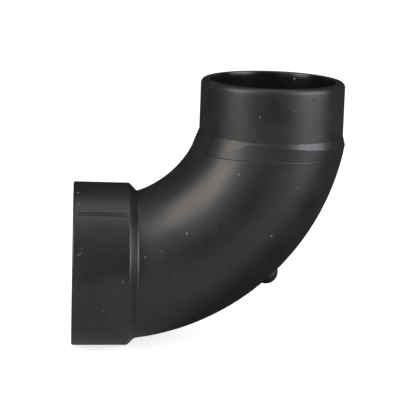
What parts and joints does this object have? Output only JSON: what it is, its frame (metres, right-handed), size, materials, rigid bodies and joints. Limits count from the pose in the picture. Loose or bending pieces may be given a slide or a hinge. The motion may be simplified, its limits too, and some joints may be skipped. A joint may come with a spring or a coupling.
{
  "type": "street elbow",
  "caption": "Black ABS drain-waste-vent street elbow: a quarter bend with a pipe socket hub at one end and a plain spigot at the other.",
  "frame": {"origin": "middle of the fitting's footprint, at the height of the hub's lowest line", "axes": "+Z along the spigot's axis, out of its open end; -X along the hub's axis, out of its mouth; the bend lies in the XZ plane"},
  "size_m": [0.1136, 0.0692, 0.1144],
  "materials": {
    "abs": "satin, as moulded"
  },
  "bodies": {
    "root": {"hub": "abs", "bend": "abs", "spigot": "abs"}
  },
  "joints": []
}
